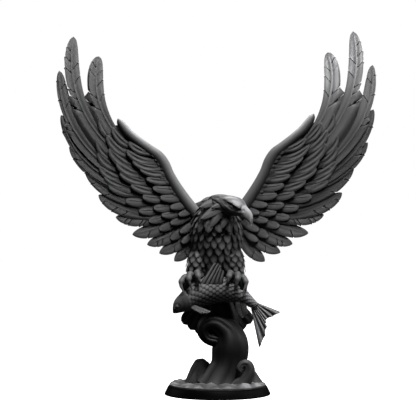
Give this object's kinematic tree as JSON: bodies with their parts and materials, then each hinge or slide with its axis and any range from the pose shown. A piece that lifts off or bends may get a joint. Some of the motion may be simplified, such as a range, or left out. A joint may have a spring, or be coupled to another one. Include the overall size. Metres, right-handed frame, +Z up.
{
  "type": "eagle sculpture",
  "caption": "Eagle with raised wings and turned head, gripping a carp above a curling wave, on a low round plinth.",
  "frame": {"origin": "centre of the plinth's flat underside", "axes": "+Z up; -Y is the front, where the eagle's breast faces; +X is the viewer's right, where the head turns"},
  "size_m": [0.2671, 0.0882, 0.3029],
  "materials": {
    "plinth_resin": "black, satin",
    "figure_resin": "dark grey, matte"
  },
  "bodies": {
    "root": {"plinth": "plinth_resin", "eagle_sculpture": "figure_resin"}
  },
  "joints": []
}
